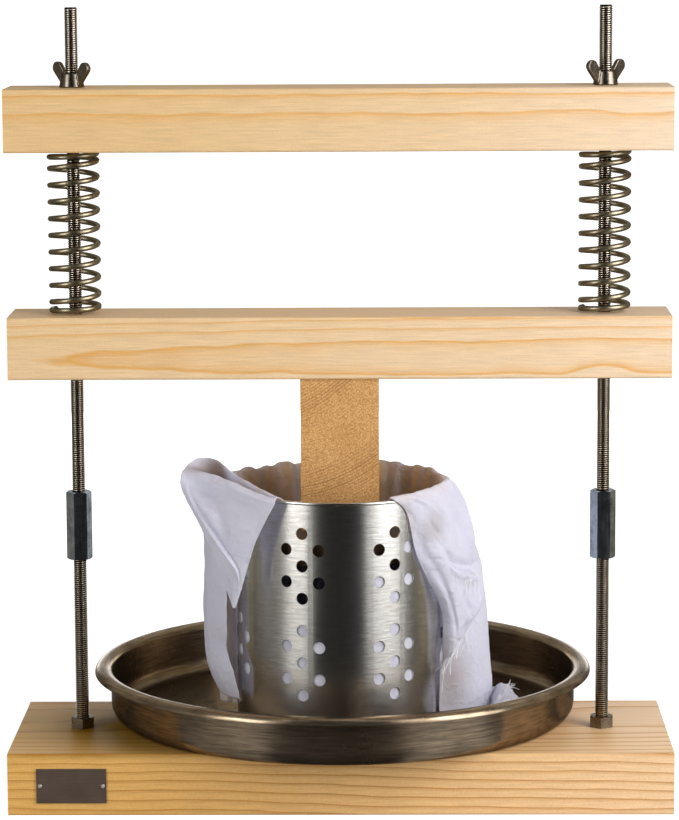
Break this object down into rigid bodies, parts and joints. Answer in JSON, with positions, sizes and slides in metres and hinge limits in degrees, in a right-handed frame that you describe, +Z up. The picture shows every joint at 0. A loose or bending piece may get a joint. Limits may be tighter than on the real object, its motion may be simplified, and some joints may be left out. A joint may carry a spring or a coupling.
{
  "type": "tofu press",
  "caption": "Standing twin-screw tofu press: spring-loaded wooden beams on threaded rods, a wooden pusher in a perforated steel mold with cloth, in a drip tray.",
  "frame": {"origin": "middle of the base board's underside", "axes": "+X along the base board to the right, +Y to the back, away from the side with the plate, +Z up along the rods"},
  "size_m": [0.38, 0.2954, 0.4568],
  "materials": {
    "pine": "planed, unfinished pine with orange latewood lines",
    "dark_wood": "wet hardwood, darkened by whey",
    "end_grain": "sawn end grain of pine",
    "plate_metal": "dark satin metal",
    "bright_steel": "bright zinc-plated",
    "rod_steel": "dark plain steel, rolled thread",
    "zinc": "bluish zinc plating",
    "spring_steel": "drawn spring wire",
    "tray_steel": "spun and brushed stainless steel",
    "mold_steel": "brushed stainless steel",
    "cotton": "loose plain-weave cotton"
  },
  "bodies": {
    "base": {"base_board": "pine", "name_plate": "plate_metal", "plate_pins": "bright_steel", "lower_rod_left": "rod_steel", "lower_rod_right": "rod_steel", "base_nut_left": "rod_steel", "base_nut_right": "rod_steel", "under_washers": "bright_steel", "under_nuts": "rod_steel", "coupling_nut_left": "zinc", "coupling_nut_right": "zinc", "upper_rod_left": "rod_steel", "upper_rod_right": "rod_steel"},
    "drip_tray": {"tray": "tray_steel"},
    "mold_pot": {"mold": "mold_steel", "cheesecloth": "cotton"},
    "presser": {"presser_beam": "pine", "pusher_block": "end_grain", "block_dowels": "pine", "follower_disc": "dark_wood", "follower_screws": "bright_steel", "spring_left": "spring_steel", "spring_right": "spring_steel"},
    "head": {"top_beam": "pine"},
    "left_wing_nut": {"wing_nut_left": "rod_steel"},
    "right_wing_nut": {"wing_nut_right": "rod_steel"}
  },
  "joints": [
    {"name": "tray_slide", "type": "slide", "parent": "base", "child": "drip_tray", "axis": [0, 1, 0], "range_m": [-0.07, 0]},
    {"name": "mold_turn", "type": "hinge", "parent": "base", "child": "mold_pot", "pos_m": [0, 0, 0.0373], "axis": [0, 0, 1], "continuous": true},
    {"name": "presser_slide", "type": "slide", "parent": "base", "child": "presser", "axis": [0, 0, 1], "range_m": [-0.04, 0.028]},
    {"name": "top_beam_slide", "type": "slide", "parent": "presser", "child": "head", "axis": [0, 0, 1], "range_m": [-0.045, 0], "stiffness_N_per_m": 12000, "deforming": ["spring_left", "spring_right"]},
    {"name": "wing_nut_left_turn", "type": "hinge", "parent": "head", "child": "left_wing_nut", "pos_m": [-0.1525, 0, 0.4113], "axis": [0, 0, 1], "continuous": true},
    {"name": "wing_nut_right_turn", "type": "hinge", "parent": "head", "child": "right_wing_nut", "pos_m": [0.1525, 0, 0.4113], "axis": [0, 0, 1], "continuous": true}
  ]
}
